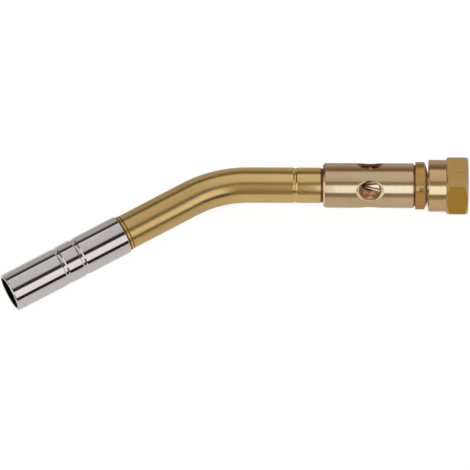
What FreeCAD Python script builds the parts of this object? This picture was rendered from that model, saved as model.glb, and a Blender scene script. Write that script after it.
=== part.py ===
import FreeCAD, Part
import math
import os

# Burner end of an air-fuel gas torch, in millimetres.
# +X runs out of the gas inlet, along the straight axis. The origin is on that axis where the
# union nut's full thread begins. +Z is up, with one flat of the nut down. The neck bends
# towards -Y, and the torch is rolled in its nut until the flame tube meets the same bench.

Vector = FreeCAD.Vector
origin = Vector(0, 0, 0)
axis_x = Vector(1, 0, 0)
axis_y = Vector(0, 1, 0)
axis_z = Vector(0, 0, 1)

# ---- clearances ----
washer_running_gap = 0.06    # radial, of the slip washer on the stem
nut_running_gap = 0.09       # radial, of the nut on the stem
flange_pass_gap = 0.275      # radial, lets the flange and slip washer through the nut's thread
counterbore_gap = 0.1        # radial, of the nut's counterbore over its thread
overshoot = 1.0              # how far a cutter runs past what it cuts

# ---- union nut ----
nut_across_flats = 22.0
nut_hex_length = 8.7
nut_collar_length = 7.0
nut_collar_wall = 1.87       # outside the thread's major radius
nut_collar_fillet = 0.5
nut_chamfer_share = 0.95     # circle left on a hexagon's end face, over its across-flats
nut_chamfer_angle = 30.0     # from the end face, degrees
thread_major_radius = 8.33
thread_depth = 0.855
thread_length = 6.0
thread_lead_in = 0.8
thread_relief_width = 2.0
thread_relief_depth = 0.12   # below the thread's major radius

# ---- tail nipple, washers and seals ----
stem_radius = 5.0
flange_thickness = 2.2
flange_edge = 0.3
seat_setback = 0.5           # from the full thread's inner end to the flange's face
nut_travel = 2.5
slip_washer_thickness = 0.8
nipple_shoulder = 1.0        # step from the stem down to the nipple's spigot
nipple_spigot_length = 4.2
gas_bore_radius = 2.0
o_ring_edge = 0.75           # metal left outside the ring's groove
o_ring_section = 0.7         # radius of its section
o_ring_proud = 0.2           # how far it stands out of the flange's face
filter_wall = 1.8            # of the stem round the filter
filter_length = 6.0
filter_depth = 1.7           # from the flange's face to the filter's end
clip_section = 0.35          # radius of the spring ring's wire
clip_opening = 60.0          # gap in the spring ring, degrees

# ---- injector hexagon ----
hex_gap = 0.3                # between the nut's collar and the hexagon
hex_across_flats = 18.0
hex_corner_cut = 0.64        # how far the corners are turned down
hex_length = 4.8
hex_face_land = 0.6          # flat that is left round the stem on the nut's side
hex_face_drop = 1.4          # how far the cone falls away at the corners
hex_corner_angle = 120.0     # of one corner, from +Y towards +Z, degrees
injector_spigot_length = 8.3
injector_chamfer = 0.6
injector_undercut_depth = 0.6
injector_undercut_width = 1.4
pin_radius = 0.95
pin_recess = 0.35            # from the corner's land down to the pin's end
pin_bite = 0.8               # how far it reaches into the nipple's spigot
pin_dish = 0.2
pin_angle_from_corner = 3.7  # degrees

# ---- jet ----
body_washer_thickness = 0.65
body_washer_inset = 0.65     # from the air body's outside
jet_shank_radius = 3.0
jet_shank_length = 5.5
jet_washer_thickness = 0.6
jet_washer_width = 1.4
jet_across_flats = 8.0
jet_hex_length = 3.2
jet_hex_chamfer = 0.35
jet_nose_length = 8.0
jet_nose_step = 0.8          # from the spanner flats in to the nose's base
jet_tip_radius = 0.8
jet_bore_radius = 1.2
jet_bore_wall = 2.2          # metal left ahead of the bore
orifice_radius = 0.2

# ---- air body ----
body_wall = 1.8              # round the neck tube and the injector's thread
body_length = 35.7
body_back_fillet = 1.2
body_front_chamfer = 0.35
body_stop = 0.8              # step that the neck tube butts against
body_socket_depth = 8.5
body_thread_extra = 0.9      # thread runs on past the injector's spigot
air_hole_count = 4
air_hole_radius = 3.85
air_hole_rim_radius = 5.5    # of the countersink, at the body's outside
jet_tip_past_holes = 2.25    # from the holes' centres to the jet's tip
air_hole_angle = 39.5        # of the first one, from +Y towards +Z, degrees

# ---- neck tube ----
neck_radius = 7.0
neck_wall = 1.0
neck_straight = 29.7         # from the air body to the start of the bend
bend_radius = 45.0           # of the neck's centre line
bend_angle = 30.0
neck_inclined = 29.1         # from the end of the bend to the ferrule
neck_groove_from_body = 10.9
neck_root_width = 0.9        # shallow turned ring beside the air body
neck_root_depth = 0.3
groove_depth = 0.28          # of each rolled groove
groove_section = 2.0         # radius of the rolling wheel's edge

# ---- venturi ----
venturi_length = 24.0
venturi_lip = 0.5
venturi_throat_radius = 3.4
venturi_throat_length = 3.0
venturi_inlet_length = 8.0
venturi_setback = 1.2        # from the neck tube's end

# ---- ferrule ----
ferrule_width = 1.6
ferrule_proud = 0.15         # outside the wider of the two tubes it joins
ferrule_edge = 0.25
ferrule_neck_spigot = 5.0
ferrule_flame_spigot = 6.0
ferrule_wall = 0.9           # of the narrower spigot

# ---- flame tube ----
flame_radius = 7.7
flame_wall = 1.3
flame_length = 50.5
flame_lip_outside = 0.6
flame_lip_inside = 0.45
flame_back_edge = 0.2
front_groove_from_mouth = 23.2
groove_spacing = 7.8

# ---- swirl vanes ----
vane_count = 6
vane_thickness = 0.7
vane_pitch = 35.0            # degrees from the tube's axis
vane_hub_radius = 1.9
vane_hub_nose = 1.2
vane_rim_wall = 0.6
vane_end_gap = 0.1           # between the rim and each rolled bead

# ---- stations along the straight axis ----
nut_face_x = thread_lead_in
collar_back_x = nut_face_x - nut_hex_length - nut_collar_length
nut_hex_back_x = nut_face_x - nut_hex_length
hex_front_x = collar_back_x - hex_gap
hex_back_x = hex_front_x - hex_length
body_front_x = hex_back_x - body_washer_thickness
body_back_x = body_front_x - body_length
neck_end_x = body_back_x + body_socket_depth
bend_start_x = body_back_x - neck_straight
bend_tangent = bend_radius * math.tan(math.radians(bend_angle) / 2)
bend_vertex_x = bend_start_x - bend_tangent
neck_groove_x = body_back_x - neck_groove_from_body
flange_front_x = -thread_length - seat_setback
flange_back_x = flange_front_x - flange_thickness
washer_front_x = flange_back_x - nut_travel
shoulder_x = washer_front_x - slip_washer_thickness
injector_back_x = hex_back_x - injector_spigot_length
jet_seat_x = injector_back_x - jet_washer_thickness
jet_hex_back_x = jet_seat_x - jet_hex_length
jet_tip_x = jet_hex_back_x - jet_nose_length
air_hole_x = jet_tip_x + jet_tip_past_holes
pin_x = hex_back_x + hex_length / 2
filter_front_x = flange_front_x - filter_depth
nipple_back_x = hex_front_x - nipple_spigot_length

# ---- stations past the bend, measured from its vertex ----
ferrule_start = bend_tangent + neck_inclined
flame_start = ferrule_start + ferrule_width
flame_end = flame_start + flame_length
front_groove = flame_end - front_groove_from_mouth
back_groove = front_groove - groove_spacing

# ---- sizes that follow from the ones above ----
neck_bore_radius = neck_radius - neck_wall
flame_bore_radius = flame_radius - flame_wall
ferrule_radius = max(neck_radius, flame_bore_radius) + ferrule_proud
ferrule_bore_radius = min(neck_bore_radius, flame_bore_radius) - ferrule_wall
body_radius = neck_radius + body_wall
body_chamber_radius = neck_radius - body_stop
injector_spigot_radius = neck_radius
injector_undercut_radius = injector_spigot_radius - injector_undercut_depth
body_washer_radius = body_radius - body_washer_inset
hex_turned_radius = hex_across_flats / math.sqrt(3) - hex_corner_cut
hex_face_radius = stem_radius + hex_face_land
nipple_spigot_radius = stem_radius - nipple_shoulder
jet_washer_radius = jet_shank_radius + jet_washer_width
jet_nose_base_radius = jet_across_flats / 2 - jet_nose_step
filter_radius = stem_radius - filter_wall
washer_bore_radius = stem_radius + washer_running_gap
nut_bore_radius = stem_radius + nut_running_gap
thread_minor_radius = thread_major_radius - thread_depth
nut_counterbore_radius = thread_minor_radius + counterbore_gap
nut_collar_radius = thread_major_radius + nut_collar_wall
flange_radius = thread_minor_radius - flange_pass_gap
o_ring_radius = flange_radius - o_ring_edge - o_ring_section
# half the width of a rolled groove where it meets the tube's surface
groove_half_width = math.sqrt(2 * groove_section * groove_depth - groove_depth ** 2)
# roll that brings the flame tube's mouth down to the nut's bench
mouth_offset = flame_end * math.sin(math.radians(bend_angle))
torch_roll = math.degrees(math.asin((nut_across_flats / 2 - flame_radius) / mouth_offset))


def turned(points):
    """Solid of revolution about X from (x, radius) corners."""
    corners = [Vector(x, 0, radius) for x, radius in points]
    outline = Part.makePolygon(corners + corners[:1])
    return Part.Face(outline).revolve(origin, axis_x, 360)


def rod(x_from, x_to, radius):
    """Plain cylinder along X."""
    low = min(x_from, x_to)
    return Part.makeCylinder(radius, abs(x_to - x_from), Vector(low, 0, 0), axis_x)


def ring(x_from, x_to, inner_radius, outer_radius):
    """Plain tube along X."""
    low = min(x_from, x_to)
    high = max(x_from, x_to)
    return rod(low, high, outer_radius).cut(rod(low - overshoot, high + overshoot, inner_radius))


def hoop(x, centre_radius, section_radius):
    """Torus round the X axis."""
    return Part.makeTorus(centre_radius, section_radius, Vector(x, 0, 0), axis_x)


def hexagon(x_from, x_to, across_flats, corner_angle):
    """Hexagonal prism along X, with one corner at corner_angle from +Y towards +Z."""
    corner_radius = across_flats / math.sqrt(3)
    corners = []
    for step in range(7):
        angle = math.radians(corner_angle + 60 * step)
        corners.append(Vector(x_from, corner_radius * math.cos(angle), corner_radius * math.sin(angle)))
    return Part.Face(Part.makePolygon(corners)).extrude(Vector(x_to - x_from, 0, 0))


def radial_cutter(x, angle, points):
    """Solid turned about a radius of the straight axis, from (height, radius) corners."""
    cutter = turned(points)
    cutter.rotate(origin, axis_y, -90)
    cutter.rotate(origin, axis_x, angle - 90)
    cutter.translate(Vector(x, 0, 0))
    return cutter


def circles(shape, x, radius):
    """Round edges of a turned shape at one station and radius."""
    found = []
    for edge in shape.Edges:
        if not isinstance(edge.Curve, Part.Circle):
            continue
        if abs(edge.Curve.Radius - radius) > 0.001 or abs(edge.Curve.Center.x - x) > 0.001:
            continue
        found.append(edge)
    return found


def rolled_groove(shape, x, outer_radius, inner_radius):
    """Roll a groove round a tube: a hollow outside and the bead it raises inside."""
    middle_radius = (outer_radius + inner_radius) / 2
    bead = hoop(x, inner_radius - groove_depth + groove_section, groove_section)
    band = ring(x - groove_section, x + groove_section, inner_radius - 2 * groove_depth, middle_radius)
    hollow = hoop(x, outer_radius - groove_depth + groove_section, groove_section)
    return shape.fuse(bead.common(band)).cut(hollow)


def past_bend(shape):
    """Carry a shape built with -X leading from the bend's vertex to its place past the bend."""
    shape.rotate(origin, axis_z, bend_angle)
    shape.translate(Vector(bend_vertex_x, 0, 0))
    return shape


def rolled_torch(shape):
    """Roll a shape with the torch in its nut."""
    shape.rotate(origin, axis_x, torch_roll)
    return shape


def make_flame_tube():
    mouth_x = -flame_end
    back_x = -flame_start
    tube = ring(mouth_x, back_x, flame_bore_radius, flame_radius)
    tube = tube.makeFillet(flame_lip_outside, circles(tube, mouth_x, flame_radius))
    tube = tube.makeFillet(flame_lip_inside, circles(tube, mouth_x, flame_bore_radius))
    tube = tube.makeChamfer(flame_back_edge, circles(tube, back_x, flame_radius))
    for station in (front_groove, back_groove):
        tube = rolled_groove(tube, -station, flame_radius, flame_bore_radius)
    return rolled_torch(past_bend(tube))


def make_swirl_vanes():
    bead_half_width = groove_half_width + vane_end_gap
    front_x = -front_groove + bead_half_width
    back_x = -back_groove - bead_half_width
    rim_bore_radius = flame_bore_radius - vane_rim_wall
    rim = ring(front_x, back_x, rim_bore_radius, flame_bore_radius)
    hub = turned([(front_x - vane_hub_nose, 0), (front_x, vane_hub_radius),
                  (back_x, vane_hub_radius), (back_x + vane_hub_nose, 0)])
    slot = ring(front_x, back_x, vane_hub_radius / 2, (rim_bore_radius + flame_bore_radius) / 2)
    middle_x = (front_x + back_x) / 2
    reach = back_x - front_x + flame_radius
    vanes = rim.fuse(hub)
    for index in range(vane_count):
        vane = Part.makeBox(2 * reach, vane_thickness, flame_radius,
                            Vector(-reach, -vane_thickness / 2, 0))
        vane.rotate(origin, axis_z, vane_pitch)
        vane.translate(Vector(middle_x, 0, 0))
        vane.rotate(origin, axis_x, 360 / vane_count * index)
        vanes = vanes.fuse(vane.common(slot))
    return rolled_torch(past_bend(vanes.removeSplitter()))


def make_neck_ferrule():
    back_x = -ferrule_start
    front_x = -flame_start
    ferrule = turned([
        (back_x + ferrule_neck_spigot, ferrule_bore_radius),
        (back_x + ferrule_neck_spigot, neck_bore_radius),
        (back_x, neck_bore_radius),
        (back_x, ferrule_radius - ferrule_edge),
        (back_x - ferrule_edge, ferrule_radius),
        (front_x + ferrule_edge, ferrule_radius),
        (front_x, ferrule_radius - ferrule_edge),
        (front_x, flame_bore_radius),
        (front_x - ferrule_flame_spigot, flame_bore_radius),
        (front_x - ferrule_flame_spigot, ferrule_bore_radius)])
    return rolled_torch(past_bend(ferrule))


def make_neck_tube():
    straight = ring(bend_start_x, neck_end_x, neck_bore_radius, neck_radius)
    root = ring(body_back_x - neck_root_width, body_back_x,
                neck_radius - neck_root_depth, neck_radius + overshoot)
    straight = straight.cut(root)
    straight = rolled_groove(straight, neck_groove_x, neck_radius, neck_bore_radius)
    # the bend is turned about an upright line on the side that the neck bends to
    centre = Vector(bend_start_x, -bend_radius, 0)
    outer = Part.Wire(Part.makeCircle(neck_radius, Vector(bend_start_x, 0, 0), axis_x))
    inner = Part.Wire(Part.makeCircle(neck_bore_radius, Vector(bend_start_x, 0, 0), axis_x))
    section = Part.Face(outer).cut(Part.Face(inner)).Faces[0]
    bend = section.revolve(centre, axis_z, bend_angle)
    inclined = past_bend(ring(-ferrule_start, -bend_tangent, neck_bore_radius, neck_radius))
    neck = straight.fuse([bend, inclined]).removeSplitter()
    return rolled_torch(neck)


def make_venturi():
    inlet_x = neck_end_x - venturi_setback
    outlet_x = inlet_x - venturi_length
    throat_x = inlet_x - venturi_inlet_length
    lip_radius = neck_bore_radius - venturi_lip
    venturi = turned([
        (inlet_x, lip_radius),
        (inlet_x, neck_bore_radius),
        (outlet_x, neck_bore_radius),
        (outlet_x, lip_radius),
        (throat_x - venturi_throat_length, venturi_throat_radius),
        (throat_x, venturi_throat_radius)])
    seat = hoop(neck_groove_x, neck_bore_radius - groove_depth + groove_section, groove_section)
    return venturi.cut(seat)


def make_air_body():
    thread_end_x = injector_back_x - body_thread_extra
    body = turned([
        (body_back_x, neck_radius),
        (body_back_x, body_radius),
        (body_front_x - body_front_chamfer, body_radius),
        (body_front_x, body_radius - body_front_chamfer),
        (body_front_x, injector_spigot_radius),
        (thread_end_x, injector_spigot_radius),
        (thread_end_x, body_chamber_radius),
        (neck_end_x, body_chamber_radius),
        (neck_end_x, neck_radius)])
    body = body.makeFillet(body_back_fillet, circles(body, body_back_x, body_radius))
    sink = air_hole_rim_radius - air_hole_radius
    for index in range(air_hole_count):
        angle = air_hole_angle + 360 / air_hole_count * index
        cutter = radial_cutter(air_hole_x, angle, [
            (0, 0),
            (0, air_hole_radius),
            (body_radius - sink, air_hole_radius),
            (body_radius, air_hole_rim_radius),
            (body_radius + overshoot, air_hole_rim_radius + overshoot),
            (body_radius + overshoot, 0)])
        body = body.cut(cutter)
    return rolled_torch(body)


def make_jet():
    nose = turned([
        (jet_tip_x, 0),
        (jet_tip_x, jet_tip_radius),
        (jet_hex_back_x, jet_nose_base_radius),
        (jet_hex_back_x, 0)])
    corner_radius = jet_across_flats / math.sqrt(3)
    blank = turned([
        (jet_hex_back_x, 0),
        (jet_hex_back_x, corner_radius - jet_hex_chamfer),
        (jet_hex_back_x + jet_hex_chamfer, corner_radius),
        (jet_seat_x, corner_radius),
        (jet_seat_x, 0)])
    spanner_hex = hexagon(jet_hex_back_x, jet_seat_x, jet_across_flats, 0).common(blank)
    shank = rod(jet_seat_x, jet_seat_x + jet_shank_length, jet_shank_radius)
    bore = rod(jet_tip_x + jet_bore_wall, jet_seat_x + jet_shank_length, jet_bore_radius)
    orifice = rod(jet_tip_x, jet_tip_x + jet_bore_wall, orifice_radius)
    jet = nose.fuse([spanner_hex, shank]).cut(bore).cut(orifice)
    return rolled_torch(jet.removeSplitter())


def make_jet_washer():
    return ring(jet_seat_x, injector_back_x, jet_shank_radius, jet_washer_radius)


def make_body_washer():
    return ring(body_front_x, hex_back_x, injector_undercut_radius, body_washer_radius)


def pin_hole():
    """Blind hole for the pin, through the hexagon and into the nipple's spigot."""
    foot = nipple_spigot_radius - pin_bite
    top = hex_turned_radius + overshoot
    corners = [(foot, 0), (foot, pin_radius), (top, pin_radius), (top, 0)]
    return radial_cutter(pin_x, hex_corner_angle + pin_angle_from_corner, corners)


def make_injector_hex():
    blank = turned([
        (injector_back_x, 0),
        (injector_back_x, injector_spigot_radius - injector_chamfer),
        (injector_back_x + injector_chamfer, injector_spigot_radius),
        (hex_back_x - injector_undercut_width, injector_spigot_radius),
        (hex_back_x - injector_undercut_width, injector_undercut_radius),
        (hex_back_x, injector_undercut_radius),
        (hex_back_x, hex_turned_radius),
        (hex_front_x - hex_face_drop, hex_turned_radius),
        (hex_front_x, hex_face_radius),
        (hex_front_x, 0)])
    flats = hexagon(hex_back_x, hex_front_x, hex_across_flats, hex_corner_angle)
    flats = flats.fuse(rod(injector_back_x, hex_back_x, injector_spigot_radius))
    jet_thread = rod(injector_back_x, jet_seat_x + jet_shank_length, jet_shank_radius)
    nipple_socket = rod(nipple_back_x, hex_front_x, nipple_spigot_radius)
    gas_way = rod(injector_back_x, hex_front_x, gas_bore_radius)
    body = blank.common(flats).cut(jet_thread.fuse([nipple_socket, gas_way]))
    return rolled_torch(body.cut(pin_hole()))


def make_lock_pin():
    end = hex_turned_radius - pin_recess
    foot = nipple_spigot_radius - pin_bite
    corners = [(foot, 0), (foot, pin_radius), (end, pin_radius),
               (end - pin_dish, pin_radius - pin_dish), (end - pin_dish, 0)]
    return rolled_torch(radial_cutter(pin_x, hex_corner_angle + pin_angle_from_corner, corners))


def make_tail_nipple():
    groove_depth_x = 2 * o_ring_section - o_ring_proud
    filter_back_x = filter_front_x - filter_length
    nipple = turned([
        (nipple_back_x, gas_bore_radius),
        (nipple_back_x, nipple_spigot_radius),
        (hex_front_x, nipple_spigot_radius),
        (hex_front_x, stem_radius),
        (flange_back_x, stem_radius),
        (flange_back_x, flange_radius),
        (flange_front_x - flange_edge, flange_radius),
        (flange_front_x, flange_radius - flange_edge),
        (flange_front_x, o_ring_radius + o_ring_section),
        (flange_front_x - groove_depth_x, o_ring_radius + o_ring_section),
        (flange_front_x - groove_depth_x, o_ring_radius - o_ring_section),
        (flange_front_x, o_ring_radius - o_ring_section),
        (flange_front_x, filter_radius),
        (filter_back_x, filter_radius),
        (filter_back_x, gas_bore_radius)])
    clip_seat = hoop(filter_front_x + clip_section, filter_radius, clip_section)
    return rolled_torch(nipple.cut(clip_seat).cut(pin_hole()))


def make_inlet_filter():
    edge = clip_section
    return turned([
        (filter_front_x, 0),
        (filter_front_x, filter_radius - edge),
        (filter_front_x - edge, filter_radius),
        (filter_front_x - filter_length, filter_radius),
        (filter_front_x - filter_length, 0)])


def make_filter_clip():
    section_centre = Vector(filter_front_x + clip_section, 0, filter_radius)
    section = Part.Face(Part.Wire(Part.makeCircle(clip_section, section_centre, axis_y)))
    clip = section.revolve(origin, axis_x, 360 - clip_opening)
    return rolled_torch(clip)


def make_seat_o_ring():
    return hoop(flange_front_x + o_ring_proud - o_ring_section, o_ring_radius, o_ring_section)


def make_slip_washer():
    return ring(shoulder_x, washer_front_x, washer_bore_radius, flange_radius)


def nut_blank():
    """Collar and hexagon, with the hexagon's ends turned to a cone."""
    corner_radius = nut_across_flats / math.sqrt(3)
    end_radius = nut_chamfer_share * nut_across_flats / 2
    chamfer_length = (corner_radius - end_radius) * math.tan(math.radians(nut_chamfer_angle))
    turned_hex = turned([
        (nut_hex_back_x, 0),
        (nut_hex_back_x, end_radius),
        (nut_hex_back_x + chamfer_length, corner_radius),
        (nut_face_x - chamfer_length, corner_radius),
        (nut_face_x, end_radius),
        (nut_face_x, 0)])
    flats = hexagon(nut_hex_back_x, nut_face_x, nut_across_flats, 0)
    collar = rod(collar_back_x, nut_hex_back_x, nut_collar_radius)
    collar = collar.makeFillet(nut_collar_fillet, circles(collar, collar_back_x, nut_collar_radius))
    return turned_hex.common(flats).fuse(collar)


def make_coupling_nut():
    relief_radius = thread_major_radius + thread_relief_depth
    inside = turned([
        (collar_back_x - overshoot, 0),
        (collar_back_x - overshoot, nut_bore_radius),
        (shoulder_x, nut_bore_radius),
        (shoulder_x, nut_counterbore_radius),
        (-thread_length - thread_relief_width, nut_counterbore_radius),
        (-thread_length - thread_relief_width, relief_radius),
        (-thread_length, relief_radius),
        (-thread_length, thread_minor_radius),
        (0, thread_minor_radius),
        (nut_face_x, thread_minor_radius + thread_lead_in),
        (nut_face_x + overshoot, thread_minor_radius + thread_lead_in + overshoot),
        (nut_face_x + overshoot, 0)])
    return nut_blank().cut(inside).removeSplitter()


makers = {
    "flame_tube": make_flame_tube,
    "swirl_vanes": make_swirl_vanes,
    "neck_ferrule": make_neck_ferrule,
    "neck_tube": make_neck_tube,
    "venturi": make_venturi,
    "air_body": make_air_body,
    "jet": make_jet,
    "jet_washer": make_jet_washer,
    "body_washer": make_body_washer,
    "injector_hex": make_injector_hex,
    "lock_pin": make_lock_pin,
    "tail_nipple": make_tail_nipple,
    "inlet_filter": make_inlet_filter,
    "filter_clip": make_filter_clip,
    "seat_o_ring": make_seat_o_ring,
    "slip_washer": make_slip_washer,
    "coupling_nut": make_coupling_nut,
}

os.makedirs("parts", exist_ok=True)
for node, make in makers.items():
    shape = make()
    shape.exportStep("parts/" + node + ".step")
    print(node, "solids", len(shape.Solids), "valid", shape.isValid(), "volume", round(shape.Volume, 2))
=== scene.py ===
import bmesh
import bpy
import math
import random
from mathutils import Matrix, Vector


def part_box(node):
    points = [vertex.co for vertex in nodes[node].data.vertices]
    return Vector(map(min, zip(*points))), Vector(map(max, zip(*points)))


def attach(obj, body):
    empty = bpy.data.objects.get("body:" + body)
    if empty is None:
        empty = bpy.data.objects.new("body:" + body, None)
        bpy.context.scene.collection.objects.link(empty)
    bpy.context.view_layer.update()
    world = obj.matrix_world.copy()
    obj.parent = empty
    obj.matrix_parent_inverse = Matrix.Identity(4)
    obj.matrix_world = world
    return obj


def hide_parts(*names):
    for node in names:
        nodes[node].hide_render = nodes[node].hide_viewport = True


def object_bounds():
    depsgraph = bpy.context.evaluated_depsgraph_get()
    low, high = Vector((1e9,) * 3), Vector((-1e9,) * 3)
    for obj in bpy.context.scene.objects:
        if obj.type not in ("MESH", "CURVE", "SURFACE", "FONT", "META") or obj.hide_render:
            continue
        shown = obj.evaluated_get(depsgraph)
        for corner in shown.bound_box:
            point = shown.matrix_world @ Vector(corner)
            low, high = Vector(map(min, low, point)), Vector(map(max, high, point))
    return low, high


# Burner end of an air-fuel torch: chromed flame tube, bent brass neck, drilled air body,
# injector hexagon and union nut. Sizes are in millimetres until a mesh or a shader is made.

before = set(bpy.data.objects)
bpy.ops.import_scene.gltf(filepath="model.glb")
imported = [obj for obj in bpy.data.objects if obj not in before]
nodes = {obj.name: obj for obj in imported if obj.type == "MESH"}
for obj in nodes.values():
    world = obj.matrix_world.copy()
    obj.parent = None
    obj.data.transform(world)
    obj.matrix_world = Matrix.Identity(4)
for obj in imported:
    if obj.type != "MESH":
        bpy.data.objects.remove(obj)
cadLow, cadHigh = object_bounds()
mm = 0.001
keenEdge = 0.06           # how far a machined edge is rounded, unless its piece says otherwise
softEdge = 0.10
wideEdge = 0.15
hair = 0.02               # keeps two points of an outline apart
print("frame loaded with", len(nodes), "nodes")

layout = {
    "bendAngle": 30.0,       # of the neck, in degrees
    "bendRadius": 45.0,
    "neckStraight": 29.7,    # from the air body to the bend
    "neckInclined": 29.1,    # from the bend to the ferrule
    "ferruleWidth": 1.6,
    "flameLength": 50.5,
    "flameRadius": 7.7,
    "pinFromCorner": 3.7,    # degrees
    "hexCorner": 120.0,      # one corner of the injector hexagon, from +Y towards +Z
    "airHole": 39.5,         # the first air hole, from +Y towards +Z
    "airHoleFromTip": 2.25,  # the jet's tip to the holes' centres
}


def span(node):
    # lowest and highest x of a node that lies on the straight axis
    low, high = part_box(node)
    return low.x / mm, high.x / mm


def halfHeight(node):
    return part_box(node)[1].z / mm


collarBack, nutFace = span("coupling_nut")
bodyBack, bodyFront = span("air_body")
neckEnd = span("neck_tube")[1]
jetTip, jetEnd = span("jet")
injectorBack, hexFront = span("injector_hex")
hexBack = span("body_washer")[1]
slipBack, slipFront = span("slip_washer")
pinX = sum(span("lock_pin")) / 2
airHoleX = jetTip + layout["airHoleFromTip"]

bendTurn = math.radians(layout["bendAngle"])
bendStart = bodyBack - layout["neckStraight"]
bendTangent = layout["bendRadius"] * math.tan(bendTurn / 2)
bendLength = layout["bendRadius"] * bendTurn
bendEnd = bendStart - bendLength               # along the neck, as if it were straight
neckFarEnd = bendEnd - layout["neckInclined"]
vertexX = bendStart - bendTangent              # where the two straight axes cross
ferruleStart = bendTangent + layout["neckInclined"]
flameStart = ferruleStart + layout["ferruleWidth"]
flameEnd = flameStart + layout["flameLength"]
# the torch is rolled in its nut until the flame tube's mouth meets the bench
mouthDrop = halfHeight("coupling_nut") - layout["flameRadius"]
torchRoll = math.asin(mouthDrop / (flameEnd * math.sin(bendTurn)))

upright = Matrix.Identity(4)
straightPlace = Matrix.Rotation(torchRoll, 4, "X")
flamePlace = (straightPlace @ Matrix.Translation((vertexX * mm, 0, 0))
              @ Matrix.Rotation(bendTurn, 4, "Z"))
pinPlace = (straightPlace @ Matrix.Translation((pinX * mm, 0, 0))
            @ Matrix.Rotation(math.radians(layout["hexCorner"] + layout["pinFromCorner"]), 4, "X")
            @ Matrix.Rotation(math.radians(90), 4, "Z"))


def bentAlongNeck(point):
    # carries a point of the straight neck round its bend
    past = bendStart - point.x
    if past <= 0:
        return point
    turn = min(past, bendLength) / layout["bendRadius"]
    beyond = max(past - bendLength, 0)
    centre = Vector((bendStart, -layout["bendRadius"], 0))
    arm = Vector((-beyond, point.y + layout["bendRadius"], point.z))
    return centre + Matrix.Rotation(turn, 3, "Z") @ arm


def softened(corners, steps=3):
    # closed outline of (x, radius, rounding) corners, each rounding turned into an arc
    points = []
    for index, (x, radius, rounding) in enumerate(corners):
        here = Vector((x, radius))
        if rounding == 0:
            points.append(here)
            continue
        back = (Vector(corners[index - 1][:2]) - here).normalized()
        ahead = (Vector(corners[(index + 1) % len(corners)][:2]) - here).normalized()
        half = back.angle(ahead) / 2
        centre = here + (back + ahead).normalized() * (rounding / math.sin(half))
        start = here + back * (rounding / math.tan(half)) - centre
        sweep = math.pi - 2 * half
        if back.x * ahead.y - back.y * ahead.x > 0:
            sweep = -sweep
        for step in range(steps + 1):
            points.append(centre + Matrix.Rotation(sweep * step / steps, 2) @ start)
    return points


def alongTube(fromX, toX, radius, spacing):
    # plain points along a tube, close enough together to follow the bend
    count = max(1, math.ceil(abs(toX - fromX) / spacing))
    return [(fromX + (toX - fromX) * step / count, radius, 0) for step in range(1, count)]


def rolledGroove(x, radius, groove, direction):
    # corners of a rolled hollow, or of the bead behind it, crossed in that direction along x
    inner = groove["floor"] / 2
    outer = inner + groove["wall"]
    low = radius - groove["depth"]
    soft = groove["rounding"]
    return [(x - direction * outer, radius, soft), (x - direction * inner, low, soft),
            (x + direction * inner, low, soft), (x + direction * outer, radius, soft)]


def roundColumns(count=128):
    return [(2 * math.pi * step / count, 0) for step in range(count)]


def hexColumns(acrossFlats, cornerAngle, edge, perFlat, landRadius=None, perLand=8, blunt=0.4):
    # (angle, distance) pairs round a hexagon, whose corners are turned to landRadius or else
    # rounded over edge degrees; blunt is the share of these by which they are cut back
    columns = []
    halfFlat = 30.0
    if landRadius:
        halfFlat = math.degrees(math.acos(acrossFlats / 2 / landRadius))
    for side in range(6):
        middle = cornerAngle + 30 + 60 * side
        for step in range(perFlat + 1):
            away = (halfFlat - edge) * (2 * step / perFlat - 1)
            reach = acrossFlats / 2 / math.cos(math.radians(away))
            columns.append((math.radians(middle + away), reach))
        if landRadius:
            for step in range(perLand + 1):
                away = halfFlat + edge + (60 - 2 * halfFlat - 2 * edge) * step / perLand
                columns.append((math.radians(middle + away), landRadius))
        else:
            reach = acrossFlats / 2 / math.cos(math.radians(30 - edge * blunt))
            columns.append((math.radians(middle + 30), reach))
    return columns


def ringsOf(columns, outline):
    # outline is a list of points, or a function of (angle, distance) that gives one
    lines = [outline(*column) if callable(outline) else outline for column in columns]
    rings = []
    for step in range(len(lines[0])):
        ring = []
        for (angle, _), line in zip(columns, lines):
            x, radius = line[step][:2]
            ring.append(Vector((x, radius * math.cos(angle), radius * math.sin(angle))))
        rings.append(ring)
    return rings


def startMesh():
    mesh = bmesh.new()
    mesh.verts.layers.float_vector.new("unbent")
    return mesh


def addSkin(mesh, rings, closed=False, bend=None):
    # quads between neighbouring rings; each vertex remembers where it was before any bend
    unbent = mesh.verts.layers.float_vector.get("unbent")
    rows = []
    for ring in rings:
        row = []
        for point in ring:
            place = bend(point) if bend else point
            vertex = mesh.verts.new(place * mm)
            vertex[unbent] = point * mm
            row.append(vertex)
        rows.append(row)
    pairs = list(zip(rows, rows[1:]))
    if closed:
        pairs.append((rows[-1], rows[0]))
    for near, far in pairs:
        for index in range(len(near)):
            after = (index + 1) % len(near)
            mesh.faces.new((near[index], near[after], far[after], far[index]))


def welded(mesh, name, within=0.002):
    # one closed mesh of the skins, with every face turned outwards
    bmesh.ops.remove_doubles(mesh, verts=mesh.verts, dist=within * mm)
    bmesh.ops.recalc_face_normals(mesh, faces=mesh.faces)
    data = bpy.data.meshes.new(name)
    mesh.to_mesh(data)
    mesh.free()
    return data


def shadeEdges(data, sharp=32):
    # smooth, with a crisp edge where faces meet at more than sharp degrees
    data.shade_smooth()
    data.set_sharp_from_angle(angle=math.radians(sharp))


def linkedObject(name, data):
    made = bpy.data.objects.new(name, data)
    bpy.context.scene.collection.objects.link(made)
    return made


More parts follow.
